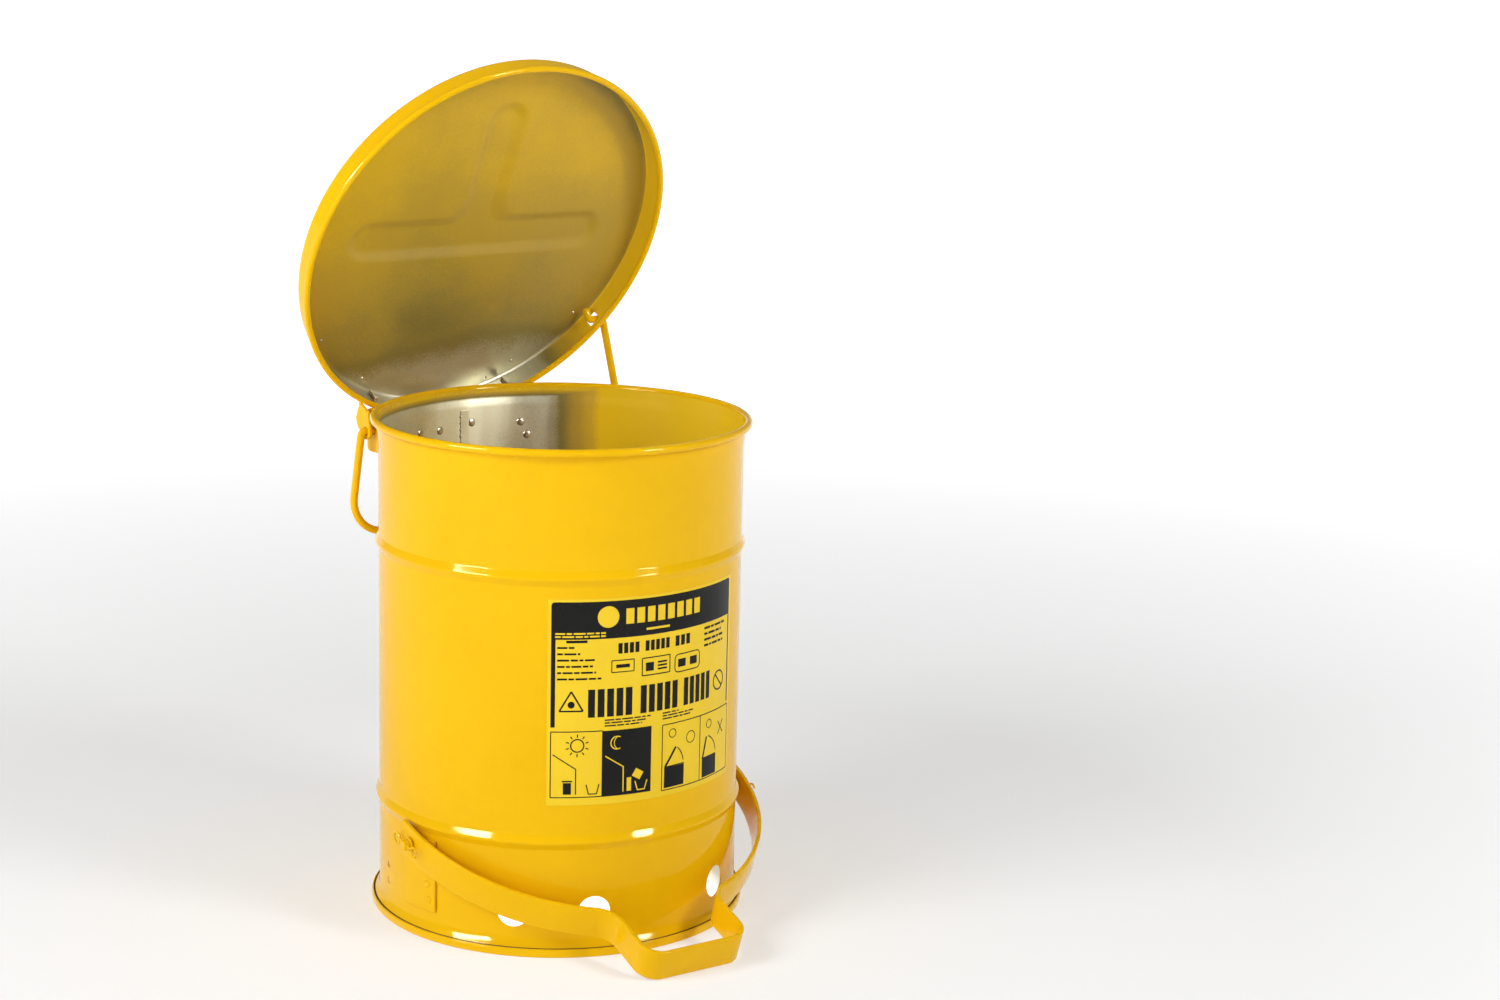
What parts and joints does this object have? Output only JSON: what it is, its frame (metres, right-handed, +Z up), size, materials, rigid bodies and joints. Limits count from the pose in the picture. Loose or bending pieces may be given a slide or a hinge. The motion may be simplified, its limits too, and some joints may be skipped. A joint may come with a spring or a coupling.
{
  "type": "oily waste can",
  "caption": "Round steel can for oily rags with a foot pedal, a lift rod and a hinged self-closing lid, a wire bail handle and a vented skirt.",
  "frame": {"origin": "on the floor, at the centre of the box of the whole object at rest; the can's own axis stands 3.2 mm towards -X and 12.9 mm towards +Y of it", "axes": "+Z up; -Y towards the pedal, +Y towards the lid hinge; the hinge axis runs along X and the lift rod is on the +X side"},
  "size_m": [0.3398, 0.4104, 0.6726],
  "materials": {
    "bare_steel": "bare sheet with overspray",
    "yellow_paint": "gloss enamel",
    "label_film": "printed vinyl"
  },
  "bodies": {
    "can": {"can_body": "yellow_paint", "bottom_pan": "bare_steel", "side_seam_strip": "bare_steel", "label_panel": "label_film", "hinge_bracket": "yellow_paint", "pivot_bracket_near": "yellow_paint", "pivot_bracket_far": "yellow_paint", "pivot_pin_near": "yellow_paint", "pivot_pin_far": "yellow_paint", "pivot_washer_near": "yellow_paint", "pivot_washer_far": "yellow_paint", "pivot_spacer_far": "yellow_paint", "split_pin_near": "yellow_paint", "split_pin_far": "yellow_paint"},
    "lid": {"lid_shell": "yellow_paint", "lid_ear_near": "yellow_paint", "lid_ear_far": "yellow_paint"},
    "handle": {"bail_handle": "yellow_paint", "bail_retainer_near": "yellow_paint", "bail_retainer_far": "yellow_paint"},
    "pedal": {"pedal_strap": "yellow_paint"},
    "rod": {"lift_rod": "yellow_paint", "rod_washer": "yellow_paint", "rod_retainer": "yellow_paint"}
  },
  "joints": [
    {"name": "lid_hinge", "type": "hinge", "parent": "can", "child": "lid", "pos_m": [-0.0032, 0.1775, 0.3653], "axis": [1, 0, 0], "range_deg": [0, 63.75]},
    {"name": "handle_swing", "type": "hinge", "parent": "can", "child": "handle", "pos_m": [-0.0032, 0.1775, 0.3653], "axis": [1, 0, 0], "range_deg": [-10, 78]},
    {"name": "pedal_pivot", "type": "hinge", "parent": "can", "child": "pedal", "pos_m": [-0.00583, -0.01718, 0.075], "axis": [0.9962, -0.0872, 0], "range_deg": [-33.5, 0.5]},
    {"name": "rod_pivot", "type": "hinge", "parent": "pedal", "child": "rod", "pos_m": [0.16694, 0.08055, 0.11371], "axis": [0.9978, -0.0663, 0], "range_deg": [-0.5, 46]}
  ],
  "couplings": [
    {"joint": "pedal_pivot", "follows": "lid_hinge", "ratio": -0.511},
    {"joint": "rod_pivot", "follows": "lid_hinge", "ratio": 0.682}
  ]
}
